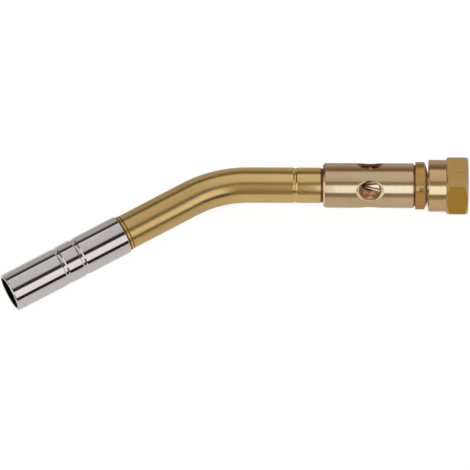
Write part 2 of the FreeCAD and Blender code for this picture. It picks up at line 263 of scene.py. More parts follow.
def checkFit(piece, node):
    # says how far the piece's box is from that of the node it stands for
    low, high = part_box(node)
    points = piece.data.vertices
    gap = 0
    for axis in range(3):
        values = [point.co[axis] for point in points]
        gap = max(gap, abs(min(values) - low[axis]), abs(max(values) - high[axis]))
    print("made", piece.name, len(points), "points, box within", round(gap / mm, 3), "mm")


def finishPiece(mesh, name, node, body, finish, place, sharp=32):
    # makes the mesh an object, and hangs it on its body in place of the CAD node
    data = welded(mesh, name)
    shadeEdges(data, sharp)
    data.materials.append(finish)
    data.transform(place)
    piece = linkedObject(name, data)
    weighted = piece.modifiers.new("Weighted Normal", "WEIGHTED_NORMAL")
    weighted.keep_sharp = True
    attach(piece, body)
    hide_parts(node)
    checkFit(piece, node)
    return piece


def lathe(name, node, outline, finish, place=straightPlace, body="torch",
          columns=None, bend=None):
    # a turned piece from a closed outline
    mesh = startMesh()
    addSkin(mesh, ringsOf(columns or roundColumns(), outline), closed=True, bend=bend)
    return finishPiece(mesh, name, node, body, finish, place)


# Finishes: a scale is of noise, per metre; widths and depths are in millimetres.

noiseBand = (0.3, 0.7)     # most of a noise texture's values lie between these
markBand = (0.35, 0.7)     # handling marks cover a little less than half


def shaderNode(tree, kind, sockets=None, **settings):
    # a shader node with its settings, and a link or a plain value for each socket
    made = tree.nodes.new("ShaderNode" + kind)
    for setting, value in settings.items():
        setattr(made, setting, value)
    for key, value in (sockets or {}).items():
        socket = made.inputs[key]
        if isinstance(value, bpy.types.NodeSocket):
            tree.links.new(value, socket)
        elif socket.type == "RGBA":
            colour = value if isinstance(value, tuple) else (value,) * 3
            socket.default_value = (*colour, 1)
        else:
            socket.default_value = value
    return made


def parts(tree, source):
    return shaderNode(tree, "SeparateXYZ", {"Vector": source}).outputs


def stretched(tree, source, scale):
    return shaderNode(tree, "VectorMath", {0: source, 1: scale},
                      operation="MULTIPLY").outputs["Vector"]


def noise(tree, source, scale, detail=3.0, rough=0.55):
    return shaderNode(tree, "TexNoise", {"Vector": source, "Scale": scale, "Detail": detail,
                                         "Roughness": rough}).outputs["Fac"]


def remap(tree, source, fromLow, fromHigh, toLow=0, toHigh=1):
    return shaderNode(tree, "MapRange", {"Value": source, "From Min": fromLow,
                                         "From Max": fromHigh, "To Min": toLow,
                                         "To Max": toHigh}).outputs["Result"]


def rises(tree, source, low, high):
    # 0 up to low and 1 from high on, both in millimetres
    return remap(tree, source, low * mm, high * mm, 0, 1)


def falls(tree, source, low, high):
    return remap(tree, source, low * mm, high * mm, 1, 0)


def maths(tree, operation, first, second=0):
    return shaderNode(tree, "Math", {0: first, 1: second}, operation=operation).outputs["Value"]


def product(tree, first, *others):
    for other in others:
        first = maths(tree, "MULTIPLY", first, other)
    return first


def mixed(tree, factor, first, second, blend="MIX"):
    return shaderNode(tree, "Mix", {"Factor": factor, "A": first, "B": second},
                      data_type="RGBA", blend_type=blend).outputs["Result"]


def laidOn(tree, socket, share, over, blend="MIX"):
    # lays a value over what already feeds the socket, where share is 1
    under = socket.links[0].from_socket
    tree.links.new(mixed(tree, share, under, over, blend), socket)


def laidOver(tree, shader, share, colour, roughness):
    laidOn(tree, shader.inputs["Base Color"], share, colour)
    laidOn(tree, shader.inputs["Roughness"], share, roughness)


def lessMetal(tree, shader, share, metal):
    tree.links.new(remap(tree, share, 0, 1, 1, metal), shader.inputs["Metallic"])


def surfaced(tree, shader, colour, rough, height, depth):
    # feeds a finish its colour, its roughness and its fine relief
    bump = shaderNode(tree, "Bump", {"Height": height, "Strength": 1.0, "Distance": depth * mm})
    tree.links.new(colour, shader.inputs["Base Color"])
    tree.links.new(rough, shader.inputs["Roughness"])
    tree.links.new(bump.outputs["Normal"], shader.inputs["Normal"])


def distanceFromAxis(tree, source):
    # of a point from its piece's own x axis
    _, sideways, upwards = parts(tree, source)
    squares = maths(tree, "ADD", product(tree, sideways, sideways),
                    product(tree, upwards, upwards))
    return maths(tree, "SQRT", squares)


def newFinish(name, look, onFrame=False):
    # source is where each point was before the neck was bent; CAD nodes only know the frame
    finish = bpy.data.materials.new(name)
    finish.use_nodes = True
    tree = finish.node_tree
    shader = tree.nodes["Principled BSDF"]
    shader.inputs["Base Color"].default_value = (*look["colour"], 1)
    shader.inputs["Metallic"].default_value = look.get("metal", 1.0)
    if onFrame:
        source = shaderNode(tree, "TexCoord").outputs["Object"]
    else:
        source = shaderNode(tree, "Attribute", attribute_name="unbent").outputs["Vector"]
    return finish, tree, shader, source


def workedMetal(name, look, onFrame=False):
    # a metal's tool lines, handling marks and slight change of tone
    finish, tree, shader, source = newFinish(name, look, onFrame)
    lines = noise(tree, stretched(tree, source, look["lineScale"]), 1.0, 2.0)
    marks = noise(tree, source, look["markScale"], 4.0)
    patches = noise(tree, source, look["toneScale"], 2.0)
    shade = maths(tree, "ADD", remap(tree, patches, *noiseBand),
                  remap(tree, lines, *noiseBand, -look["lineTone"], look["lineTone"]))
    colour = mixed(tree, shade, look["colour"], look["tarnish"])
    rough = maths(tree, "ADD", remap(tree, marks, *markBand, *look["roughness"]),
                  remap(tree, lines, *noiseBand, -look["lineRough"], look["lineRough"]))
    surfaced(tree, shader, colour, rough, lines, look["lineDepth"])
    return finish, tree, shader, source


platedLook = {
    "colour": (0.640, 0.605, 0.605),
    "tarnish": (0.600, 0.560, 0.560),
    "roughness": (0.055, 0.085),
    "markScale": 260.0,
    "toneScale": 60.0,
    "lineScale": (2600.0, 90.0, 90.0),
    "lineTone": 0.10,
    "lineRough": 0.008,
    "lineDepth": 0.15e-3,
    "soot": (0.012, 0.011, 0.011),
    "sootRoughness": 0.55,
    "sootEdge": (0.25, 0.50),     # past the bore's radius
    "sootRagged": (900.0, 0.3),   # scale and width
}


def platedSteel(boreRadius):
    # bright chrome outside; the bore is sooted by the flame
    look = platedLook
    finish, tree, shader, source = workedMetal("platedSteel", look)
    scale, width = look["sootRagged"]
    ragged = product(tree, noise(tree, source, scale), width * mm)
    away = maths(tree, "ADD", distanceFromAxis(tree, source), ragged)
    start, end = look["sootEdge"]
    inner = falls(tree, away, boreRadius + start, boreRadius + end)
    laidOver(tree, shader, inner, look["soot"], look["sootRoughness"])
    return finish


satinLook = {
    "colour": (0.740, 0.540, 0.235),
    "tarnish": (0.690, 0.488, 0.198),
    "roughness": (0.17, 0.21),
    "markScale": 320.0,
    "toneScale": 45.0,
    "lineScale": (40.0, 1800.0, 1800.0),
    "lineTone": 0.30,
    "lineRough": 0.01,
    "lineDepth": 0.15e-3,
    "stainAndShade": (0.200, 0.085, 0.030),    # brazing stain at each joint, and painted shade in the joint's crease
    "stainAndShadeRoughness": 0.4,
    "stainAndShadeEdge": (0.05, 0.30),         # past the line's half width
    "stainAndShadeRagged": (700.0, 0.1),       # scale and width
    "heat": (0.600, 0.405, 0.165),     # where the flame's heat has reached
    "heatRoughness": 0.27,
}


def satinBrass(name, joints, coolX, hotX):
    # drawn tube, lightly rubbed along its length and warmer in tone towards the flame;
    # each joint is the x and the half width of a dark line of brazing stain and painted shade
    look = satinLook
    finish, tree, shader, source = workedMetal(name, look)
    along = parts(tree, source)["X"]
    heat = remap(tree, along, coolX * mm, hotX * mm)
    laidOver(tree, shader, heat, look["heat"], look["heatRoughness"])
    # dark line at each joint: brazing stain, and painted shade in the joint's crease
    scale, width = look["stainAndShadeRagged"]
    ragged = product(tree, noise(tree, source, scale, 2.0), width * mm)
    start, end = look["stainAndShadeEdge"]
    stainAndShade = 0.0
    for joint, halfWidth in joints:
        away = maths(tree, "ABSOLUTE", maths(tree, "SUBTRACT", along, joint * mm))
        near = falls(tree, maths(tree, "ADD", away, ragged), halfWidth + start, halfWidth + end)
        stainAndShade = maths(tree, "MAXIMUM", stainAndShade, near)
    laidOver(tree, shader, stainAndShade, look["stainAndShade"], look["stainAndShadeRoughness"])
    return finish


turnedLook = {
    "colour": (0.640, 0.475, 0.300),
    "tarnish": (0.600, 0.430, 0.255),
    "roughness": (0.17, 0.22),
    "markScale": 300.0,
    "toneScale": 55.0,
    "lineScale": (2600.0, 60.0, 60.0),
    "lineTone": 0.25,
    "lineRough": 0.02,
    "lineDepth": 0.3e-3,
}


def turnedBrass(name, look=turnedLook, onFrame=False):
    # fine tool lines round the axis
    return workedMetal(name, look, onFrame)[0]


airLook = {
    "sink": (0.930, 0.740, 0.480),
    "sinkRoughness": 0.20,
    "sinkMetal": 0.75,
    "sinkPaintedShade": (0.300, 0.120, 0.055),    # painted shade in the holes that face +Y, away from the softbox
    "sinkPaintedShadeFrom": (0.0, 1.0),
    "skin": (0.12, 0.06),                 # a countersink starts this far under the outside
    "inside": (0.960, 0.560, 0.290),
    "insideDark": (0.480, 0.210, 0.085),
    "insideRoughness": 0.34,
    "insideScale": 500.0,
    "insideBand": (0.4, 0.65),
}


def airBrass(name, skinRadius, boredRadius):
    # turned outside, freshly cut in the countersinks, painted shade in those facing +Y; orange
    # inside with darker patches
    look = airLook
    finish, tree, shader, source = workedMetal(name, turnedLook)
    away = distanceFromAxis(tree, source)
    deep, shallow = look["skin"]
    sunk = falls(tree, away, skinRadius - deep, skinRadius - shallow)
    # painted shade: the countersinks of the holes that face +Y made dark
    paintedSide = rises(tree, parts(tree, source)["Y"], *look["sinkPaintedShadeFrom"])
    sink = mixed(tree, paintedSide, look["sink"], look["sinkPaintedShade"])
    laidOver(tree, shader, sunk, sink, look["sinkRoughness"])
    lessMetal(tree, shader, sunk, look["sinkMetal"])
    bored = falls(tree, away, boredRadius, boredRadius + deep)
    patches = remap(tree, noise(tree, source, look["insideScale"], 4.0), *look["insideBand"])
    inside = mixed(tree, patches, look["inside"], look["insideDark"])
    laidOver(tree, shader, bored, inside, look["insideRoughness"])
    return finish


barLook = {
    "roughness": (0.34, 0.42),
    "markScale": 420.0,
    "toneScale": 70.0,
    "lineScale": (120.0, 3600.0, 3600.0),
    "lineTone": 0.55,
    "lineRough": 0.05,
    "lineDepth": 3.0e-3,
    "turnedTone": 0.5,
    "turnedEdge": (0.1, 0.2),         # past the radius within which it is turned
    "landEdge": (-0.35, -0.25),       # past the corners' turned radius
    "coneEdge": (0.02, 0.06),         # past the cone's own edges
    "paintedSideFacing": (-0.6, -0.8),       # share of Y in the direction that the side with the painted reflection tint faces
}


def coneShare(tree, source, away, cone):
    # 1 on the cone that falls away from a hexagon's end, or from both ends
    along = maths(tree, "SUBTRACT", parts(tree, source)["X"], cone["middle"] * mm)
    if cone["bothEnds"]:
        along = maths(tree, "ABSOLUTE", along)
    reach = maths(tree, "ADD", along, product(tree, away, cone["slope"]))
    limit = cone["half"] + cone["radius"] * cone["slope"]
    near, far = barLook["coneEdge"]
    return product(tree, rises(tree, reach, limit - far, limit - near),
                   rises(tree, away, cone["radius"] + near, cone["radius"] + far))


def barBrass(name, look, turnedWithin, cone):
    # drawn hexagon bar: lengthwise lines on the flats, turned and brighter within a radius
    flats = dict(barLook, colour=look["colour"], tarnish=look["tarnish"])
    finish, tree, shader, source = workedMetal(name, flats)
    # painted reflection tint on the flats that face -Y
    if "paintedSide" in look:
        facing = parts(tree, shaderNode(tree, "TexCoord").outputs["Normal"])["Y"]
        laidOn(tree, shader.inputs["Base Color"], remap(tree, facing, *barLook["paintedSideFacing"]),
               look["paintedSide"], "MULTIPLY")
    away = distanceFromAxis(tree, source)
    start, end = barLook["turnedEdge"]
    turned = falls(tree, away, turnedWithin + start, turnedWithin + end)
    rings = noise(tree, stretched(tree, source, turnedLook["lineScale"]), 1.0, 2.0)
    tone = remap(tree, rings, *noiseBand, 0, barLook["turnedTone"])
    laidOver(tree, shader, turned, mixed(tree, tone, look["turned"], look["turnedTarnish"]),
             remap(tree, rings, *noiseBand, *look["turnedRoughness"]))
    if "land" in look:
        start, end = barLook["landEdge"]
        land = rises(tree, away, look["landRadius"] + start, look["landRadius"] + end)
        laidOver(tree, shader, land, look["land"], look["turnedRoughness"][1])
    coned = coneShare(tree, source, away, cone)
    laidOver(tree, shader, coned, look["coneColour"], look["coneRoughness"])
    lessMetal(tree, shader, coned, look["coneMetal"])
    return finish


steelLook = {             # a thin oxide, a little oily
    "colour": (0.13, 0.12, 0.11),
    "dark": (0.055, 0.055, 0.065),
    "roughness": (0.38, 0.60),
    "patchScale": 900.0,
    "patchBand": (0.35, 0.65),
    "grain": (4200.0, 3.0, 0.002),    # scale, detail and depth
}

copperLook = {            # an annealed washer, dulled where it was handled
    "colour": (0.34, 0.13, 0.065),
    "dark": (0.20, 0.075, 0.04),
    "roughness": (0.24, 0.45),
    "patchScale": 500.0,
    "patchBand": (0.35, 0.65),
    "grain": (2600.0, 3.0, 0.002),
}

rubberLook = {            # black nitrile with a faint bloom
    "colour": (0.018, 0.018, 0.020),
    "dark": (0.060, 0.060, 0.062),
    "metal": 0.0,
    "roughness": (0.38, 0.60),
    "patchScale": 1200.0,
    "patchBand": (0.4, 0.75),
    "grain": (7000.0, 2.0, 0.003),
}


def mottled(name, look, onFrame=False):
    # a dull surface in two tones with a fine grain
    finish, tree, shader, source = newFinish(name, look, onFrame)
    patches = noise(tree, source, look["patchScale"], 4.0)
    colour = mixed(tree, remap(tree, patches, *look["patchBand"]), look["colour"], look["dark"])
    rough = remap(tree, patches, *noiseBand, *look["roughness"])
    scale, detail, depth = look["grain"]
    surfaced(tree, shader, colour, rough, noise(tree, source, scale, detail), depth)
    return finish


bronzeLook = {
    "colour": (0.50, 0.34, 0.16),
    "pore": (0.09, 0.055, 0.025),
    "roughness": (0.38, 0.80),
    "poreBand": (0.35, 0.75),     # share of a ball's width, from its middle
    "poreDepth": 0.06,
}


def sinteredBronze(name, grain):
    # little bronze balls fused together, with dark pores between them
    look = bronzeLook
    finish, tree, shader, source = newFinish(name, look)
    cells = shaderNode(tree, "TexVoronoi", {"Vector": source, "Scale": 1 / (grain * mm)})
    pores = remap(tree, cells.outputs["Distance"], *look["poreBand"])
    colour = mixed(tree, pores, look["colour"], look["pore"])
    rough = remap(tree, pores, 0, 1, *look["roughness"])
    surfaced(tree, shader, colour, rough, maths(tree, "SUBTRACT", 1.0, pores),
             look["poreDepth"])
    return finish


def refinish(node, finish):
    for place in nodes[node].material_slots:
        place.material = finish


flameTube = {
    "radius": layout["flameRadius"] - 0.002,
    "wall": 1.3,
    "lipOutside": 0.6,
    "lipInside": 0.45,
    "backEdge": 0.3,
    "grooves": (23.2, 31.0),   # from the mouth
    "groove": {"depth": 0.30, "floor": 0.9, "wall": 0.52, "rounding": 0.15},
}


def makeFlameTube():
    size = flameTube
    bore = size["radius"] - size["wall"]
    mouth = -flameEnd
    back = -flameStart
    corners = [(mouth, bore, size["lipInside"]), (mouth, size["radius"], size["lipOutside"])]
    for station in size["grooves"]:
        corners += rolledGroove(mouth + station, size["radius"], size["groove"], 1)
    corners += [(back, size["radius"], size["backEdge"]), (back, bore, softEdge)]
    for station in reversed(size["grooves"]):
        corners += rolledGroove(mouth + station, bore, size["groove"], -1)
    lathe("flameTube", "flame_tube", softened(corners, steps=6), platedSteel(bore),
          flamePlace)


makeFlameTube()


neckFerrule = {
    "radius": 7.15,
    "boreRadius": 5.1,
    "edge": 0.35,
    "neckSpigot": 5.0,
    "flameSpigot": 6.0,
    "neckBore": 6.0,
    "flameBore": 6.4,
    "neckStainAndShade": 0.05,       # half the width of the dark line, stain and painted shade, at each end
    "flameStainAndShade": 0.50,
}

neckTube = {
    "radius": 7.0,
    "wall": 1.0,
    "rootWidth": 0.9,       # shallow turned ring beside the air body
    "rootDepth": 0.3,
    "grooveFrom": 10.9,     # from the air body
    "groove": {"depth": 0.30, "floor": 0.5, "wall": 0.52, "rounding": 0.12},
    "edge": 0.25,
    "innerEdge": 0.08,
    "spacing": 1.0,         # between rings in the bend
    "rootStainAndShade": 0.35,      # half the width of the dark line, stain and painted shade, at each end
    "farStainAndShade": 0.10,
}


def makeNeckFerrule():
    size = neckFerrule
    back = -ferruleStart
    front = -flameStart
    outline = softened([
        (back + size["neckSpigot"], size["boreRadius"], softEdge),
        (back + size["neckSpigot"], size["neckBore"], wideEdge),
        (back, size["neckBore"], 0),
        (back, size["radius"], size["edge"]),
        (front, size["radius"], size["edge"]),
        (front, size["flameBore"], 0),
        (front - size["flameSpigot"], size["flameBore"], wideEdge),
        (front - size["flameSpigot"], size["boreRadius"], softEdge)], steps=4)
    joints = ((back, size["neckStainAndShade"]), (front, size["flameStainAndShade"]))
    finish = satinBrass("ferruleBrass", joints, -bendTangent, back)
    lathe("neckFerrule", "neck_ferrule", outline, finish, flamePlace)


def makeNeckTube():
    size = neckTube
    radius = size["radius"]
    bore = radius - size["wall"]
    grooveX = bodyBack - size["grooveFrom"]
    rootX = bodyBack - size["rootWidth"]
    corners = [
        (neckEnd, bore, size["edge"]),
        (neckEnd, radius, size["edge"]),
        (bodyBack, radius, 0),
        (bodyBack, radius - size["rootDepth"], 0),
        (rootX, radius - size["rootDepth"], size["innerEdge"]),
        (rootX, radius, softEdge)]
    corners += rolledGroove(grooveX, radius, size["groove"], -1)
    corners += [(bendStart, radius, 0)]
    corners += alongTube(bendStart, bendEnd, radius, size["spacing"])
    corners += [(bendEnd, radius, 0), (neckFarEnd, radius, size["edge"]),
                (neckFarEnd, bore, size["innerEdge"]), (bendEnd, bore, 0)]
    corners += alongTube(bendEnd, bendStart, bore, size["spacing"])
    corners += [(bendStart, bore, 0)]
    corners += rolledGroove(grooveX, bore, size["groove"], 1)
    # the root ring's dark line is painted shade in its groove as well as brazing stain
    joints = (((bodyBack + rootX) / 2, size["rootStainAndShade"]), (neckFarEnd, size["farStainAndShade"]))
    finish = satinBrass("neckBrass", joints, bendStart, bendEnd)
    lathe("neckTube", "neck_tube", softened(corners), finish,
          bend=bentAlongNeck)


makeNeckFerrule()
makeNeckTube()
refinish("venturi", turnedBrass("venturiBrass", onFrame=True))
refinish("swirl_vanes", mottled("vaneSteel", steelLook, onFrame=True))


airBody = {
    "radius": 8.8,
    "chamberRadius": 6.2,
    "socketRadius": 7.0,
    "backFillet": 1.2,
    "frontChamfer": 0.35,
    "threadEnd": -29.2,
    "holes": 4,
    "holeRadius": 3.85,
    "sinkRadius": 5.5,        # of the countersink, at the outside
    "sinkCrown": 0.25,        # how far its wall bulges
    "rim": 0.05,              # round a hole, where it meets a round surface
    "patch": 6.9,             # half the length of the surface round each hole
    "perSide": 28,            # points along each side of a patch
    "rows": 7,                # of faces between a patch's border and its hole
    "crowding": 1.25,         # of the rows towards the hole
    "sinkRows": (0.03, 0.2, 0.4, 0.6, 0.8, 0.97),     # shares of the way down
    "boreRows": (0.03, 0.35, 0.65, 0.97),
}
patchTurn = math.pi / airBody["holes"]     # half the angle that a hole's patch covers


def sinkRadiusAt(turn):
    # the 45 degree countersink meets the round outside at this distance from the hole's axis
    size = airBody
    drop = size["radius"] - size["sinkRadius"]
    square = 1 + math.sin(turn) ** 2
    reach = size["radius"] ** 2 - drop ** 2
    return (math.sqrt(drop ** 2 + square * reach) - drop) / square


def patchBorder():
    # points round a square in (along the axis, angle round it), starting at its first corner
    border = []
    for side in range(4):
        for step in range(airBody["perSide"]):
            along, around = 1, 2 * step / airBody["perSide"] - 1
            for _ in range(side):
                along, around = -around, along
            border.append((along * airBody["patch"], around * patchTurn))
    return border


def holeRings(middleAngle):
    # rings from the outside's square patch, through the hole, to the chamber's square patch
    size = airBody
    border = patchBorder()
    turns = [math.atan2(around / patchTurn, along / size["patch"]) for along, around in border]
    outer = size["radius"]
    inner = size["chamberRadius"]
    hole = size["holeRadius"]
    drop = outer - size["sinkRadius"]
    outwards = Vector((0, math.cos(middleAngle), math.sin(middleAngle)))
    across = Vector((0, -math.sin(middleAngle), math.cos(middleAngle)))

    def surfaceRing(radius, share, rimAt):
        # on a round surface, this share of the way from the square border to the hole's rim
        ring = []
        for (along, around), turn in zip(border, turns):
            reach = rimAt(turn) + size["rim"]
            rimRound = math.asin(reach * math.sin(turn) / radius)
            angle = middleAngle + around + (rimRound - around) * share
            x = airHoleX + along + (reach * math.cos(turn) - along) * share
            ring.append(Vector((x, radius * math.cos(angle), radius * math.sin(angle))))
        return ring

    def holeRing(share, wallAt):
        # in the hole, where wallAt gives its radius and height above the body's axis
        ring = []
        for turn in turns:
            reach, height = wallAt(turn, share)
            middle = Vector((airHoleX + reach * math.cos(turn), 0, 0))
            ring.append(middle + outwards * height + across * reach * math.sin(turn))
        return ring

    def sinkWall(turn, share):
        top = sinkRadiusAt(turn)
        reach = top + (hole - top) * share
        return reach, reach + drop + size["sinkCrown"] * 4 * share * (1 - share)

    def boreWall(turn, share):
        top = hole + drop
        foot = math.sqrt(inner ** 2 - (hole * math.sin(turn)) ** 2)
        return hole, top + (foot - top) * share

    shares = [1 - (1 - row / size["rows"]) ** size["crowding"] for row in range(size["rows"] + 1)]
    rings = [surfaceRing(outer, share, sinkRadiusAt) for share in shares]
    rings += [holeRing(share, sinkWall) for share in size["sinkRows"]]
    rings += [holeRing(share, boreWall) for share in size["boreRows"]]
    rings += [surfaceRing(inner, share, lambda turn: hole) for share in reversed(shares)]
    return rings


def makeAirBody():
    size = airBody
    frontPatch = airHoleX + size["patch"]
    backPatch = airHoleX - size["patch"]
    firstAngle = math.radians(layout["airHole"])
    columns = [(firstAngle + patchTurn + angle, 0)
               for angle, _ in roundColumns(size["holes"] * size["perSide"])]
    front = softened([
        (frontPatch, size["radius"], 0),
        (bodyFront, size["radius"], size["frontChamfer"]),
        (bodyFront, size["socketRadius"], wideEdge),
        (size["threadEnd"], size["socketRadius"], 0),
        (size["threadEnd"], size["chamberRadius"], 0),
        (frontPatch, size["chamberRadius"], 0)])
    back = softened([
        (backPatch, size["chamberRadius"], 0),
        (neckEnd, size["chamberRadius"], 0),
        (neckEnd, size["socketRadius"], 0),
        (bodyBack, size["socketRadius"], softEdge),
        (bodyBack, size["radius"], size["backFillet"]),
        (backPatch, size["radius"], 0)], steps=6)
    mesh = startMesh()
    addSkin(mesh, ringsOf(columns, front))
    addSkin(mesh, ringsOf(columns, back))
    for index in range(size["holes"]):
        addSkin(mesh, holeRings(firstAngle + 2 * math.pi * index / size["holes"]))
    bored = size["radius"] - size["sinkRadius"] + size["holeRadius"]
    finish = airBrass("bodyBrass", size["radius"], bored)
    finishPiece(mesh, "airBody", "air_body", "torch", finish, straightPlace)


makeAirBody()


washers = {
    "edge": 0.12,
    # node: name, body, slot, place, bore radius
    "rings": {
        "body_washer": ("bodyWasher", "torch", "copper_washer", straightPlace, 6.4),
        "jet_washer": ("jetWasher", "torch", "copper_washer", straightPlace, 3.0),
        "slip_washer": ("slipWasher", "slip_washer", "turned_brass", upright, 5.06),
    },
}


def makeWashers():
    finishes = {"copper_washer": mottled("washerCopper", copperLook),
                "turned_brass": turnedBrass("slipWasherBrass")}
    edge = washers["edge"]
    for node, (name, body, slot, place, bore) in washers["rings"].items():
        back, front = span(node)
        radius = halfHeight(node)
        outline = softened([(back, bore, edge / 2), (back, radius, edge),
                            (front, radius, edge), (front, bore, edge / 2)])
        lathe(name, node, outline, finishes[slot], place, body)


makeWashers()


lockPin = {
    "radius": 0.93,
    "recess": 0.35,          # below the corner's land
    "dish": 0.2,
    "foot": 3.2,
    "drillTo": 11.0,         # past the hexagon's corner
    "columns": 48,
    "drillColumns": 40,
    "colour": (0.350, 0.255, 0.125),
    "dark": (0.260, 0.190, 0.090),
}

injectorHex = {
    "acrossFlats": 18.0,
    "landRadius": 9.752,
    "landEdge": 0.55,        # degrees between a flat and a corner's land
    "perFlat": 12,
    "faceLand": 5.6,         # radius of the flat round the stem
    "faceDrop": 1.4,         # how far the cone falls away at the corners
    "backCorner": 9.35,      # the corners are eased from this radius on the air body's side
    "backEase": 0.3,
    "spigotRadius": 7.0,
    "spigotChamfer": 0.6,
    "undercutRadius": 6.4,
    "undercutWidth": 1.4,
    "nippleSocket": 4.0,
    "nippleDepth": 4.2,
    "gasBore": 2.0,
    "jetThread": 3.0,
    "jetThreadEnd": -23.4,
    "turnedWithin": 7.3,
    "colour": (0.580, 0.325, 0.115),
    "tarnish": (0.530, 0.290, 0.095),
    "turned": (0.600, 0.350, 0.140),
    "turnedTarnish": (0.550, 0.310, 0.120),
    "turnedRoughness": (0.30, 0.38),
    "land": (0.480, 0.275, 0.105),   # of the corners' turned land
    "coneColour": (0.860, 0.560, 0.260),
    "coneRoughness": 0.50,
    "coneMetal": 0.05,
}


def drillForPin(piece):
    # cuts the lock pin's hole through a finished piece on the straight axis
    size = lockPin
    outline = [(size["foot"], 0), (size["foot"], size["radius"]),
               (size["drillTo"], size["radius"]), (size["drillTo"], 0)]
    mesh = startMesh()
    addSkin(mesh, ringsOf(roundColumns(size["drillColumns"]), outline))
    tool = linkedObject("drill", welded(mesh, "drill"))
    tool.matrix_world = pinPlace
    cut = piece.modifiers.new("hole", "BOOLEAN")
    cut.object = tool
    cut.operation = "DIFFERENCE"
    cut.solver = "EXACT"
    piece.modifiers.move(len(piece.modifiers) - 1, 0)
    bpy.context.view_layer.update()
    graph = bpy.context.evaluated_depsgraph_get()
    piece.modifiers["Weighted Normal"].show_viewport = False
    graph.update()
    holed = bpy.data.meshes.new_from_object(piece.evaluated_get(graph))
    piece.modifiers.remove(cut)
    piece.data = holed
    # the cut leaves its new vertices without their place on the piece
    home = straightPlace.inverted()
    unbent = holed.attributes["unbent"].data
    for vertex in holed.vertices:
        unbent[vertex.index].vector = home @ vertex.co
    shadeEdges(holed)
    piece.modifiers["Weighted Normal"].show_viewport = True
    bpy.data.objects.remove(tool)


def injectorOutline(angle, reach):
    size = injectorHex
    socketEnd = hexFront - size["nippleDepth"]
    coneSlope = size["faceDrop"] / (size["landRadius"] - size["faceLand"])
    coneFoot = hexFront - (reach - size["faceLand"]) * coneSlope
    eased = min(reach, size["backCorner"])
    easeX = hexBack + (reach - eased) / (size["landRadius"] - size["backCorner"]) * size["backEase"]
    undercutX = hexBack - size["undercutWidth"]
    return softened([
        (hexFront, size["nippleSocket"], 0),
        (hexFront, size["faceLand"], 0),
        (coneFoot, reach, keenEdge),
        (easeX + hair, reach, 0),
        (hexBack, eased, 0),
        (hexBack, size["undercutRadius"], 0),
        (undercutX, size["undercutRadius"], 0),
        (undercutX, size["spigotRadius"], softEdge),
        (injectorBack + size["spigotChamfer"], size["spigotRadius"], softEdge),
        (injectorBack, size["spigotRadius"] - size["spigotChamfer"], softEdge),
        (injectorBack, size["jetThread"], 0),
        (size["jetThreadEnd"], size["jetThread"], 0),
        (size["jetThreadEnd"], size["gasBore"], 0),
        (socketEnd, size["gasBore"], 0),
        (socketEnd, size["nippleSocket"], 0)])


def makeInjector():
    size = injectorHex
    columns = hexColumns(size["acrossFlats"], layout["hexCorner"], size["landEdge"],
                         size["perFlat"], size["landRadius"])
    cone = {"middle": hexBack, "half": hexFront - hexBack, "radius": size["faceLand"],
            "slope": size["faceDrop"] / (size["landRadius"] - size["faceLand"]),
            "bothEnds": False}
    finish = barBrass("injectorBrass", size, size["turnedWithin"], cone)
    piece = lathe("injectorHex", "injector_hex", injectorOutline, finish,
                  columns=columns)
    drillForPin(piece)


def makeLockPin():
    size = lockPin
    end = injectorHex["landRadius"] - size["recess"]
    radius = size["radius"]
    dish = size["dish"]
    outline = softened([
        (size["foot"], 0, 0),
        (size["foot"], radius, wideEdge),
        (end, radius, keenEdge),
        (end - dish, radius - dish, softEdge),
        (end - dish, 0, 0)])
    mesh = startMesh()
    addSkin(mesh, ringsOf(roundColumns(size["columns"]), outline))
    finish = mottled("pinSteel", dict(steelLook, colour=size["colour"], dark=size["dark"]))
    finishPiece(mesh, "lockPin", "lock_pin", "torch", finish, pinPlace)


makeInjector()
makeLockPin()


jet = {
    "tipRadius": 0.8,
    "orifice": 0.2,
    "orificeDepth": 2.2,
    "bore": 1.2,
    "noseLength": 8.0,
    "noseBase": 3.2,
    "acrossFlats": 8.0,
    "cornerEdge": 1.0,       # degrees
    "perFlat": 12,
    "hexLength": 3.2,
    "chamfer": 0.35,
    "shankRadius": 3.0,
    "shankEdge": 0.3,
    "tipEdge": 0.08,
    "orificeEdge": 0.04,
    "colour": (0.980, 0.900, 0.700),
    "tarnish": (0.950, 0.840, 0.610),
    "roughness": (0.20, 0.26),
}


def jetOutline(angle, reach):
    size = jet
    hexStart = jetTip + size["noseLength"]
    seat = hexStart + size["hexLength"]
    eased = min(reach, size["acrossFlats"] / math.sqrt(3) - size["chamfer"])
    boreX = jetTip + size["orificeDepth"]
    return softened([
        (jetEnd, size["bore"], softEdge),
        (jetEnd, size["shankRadius"], size["shankEdge"]),
        (seat, size["shankRadius"], 0),
        (seat, reach, keenEdge),
        (hexStart + reach - eased + hair / 2, reach, 0),
        (hexStart, eased, 0),
        (hexStart, size["noseBase"], 0),
        (jetTip, size["tipRadius"], size["tipEdge"]),
        (jetTip, size["orifice"], size["orificeEdge"]),
        (boreX, size["orifice"], 0),
        (boreX, size["bore"], 0)])


def makeJet():
    look = dict(turnedLook, colour=jet["colour"], tarnish=jet["tarnish"],
                roughness=jet["roughness"])
    columns = hexColumns(jet["acrossFlats"], 0, jet["cornerEdge"], jet["perFlat"])
    lathe("gasJet", "jet", jetOutline, turnedBrass("jetBrass", look),
          columns=columns)


makeJet()


tailNipple = {
    "stemRadius": 5.0,
    "spigotRadius": 4.0,
    "flangeFrom": 2.5,        # from the slip washer at rest
    "flangeEdge": 0.3,
    "stemEdge": 0.2,
    "ringGrooveOuter": 6.45,
    "ringGrooveInner": 5.05,
    "ringGrooveDepth": 1.2,
    "filterRadius": 3.2,
    "gasBore": 2.0,
    "clipSeat": 0.35,
    "clipSteps": 8,
}

inletFilter = {
    "grain": 0.42,
    "edge": 0.35,
    "roughness": 0.07,
    "rows": 20,
    "columns": 72,
    "seed": 4,
}


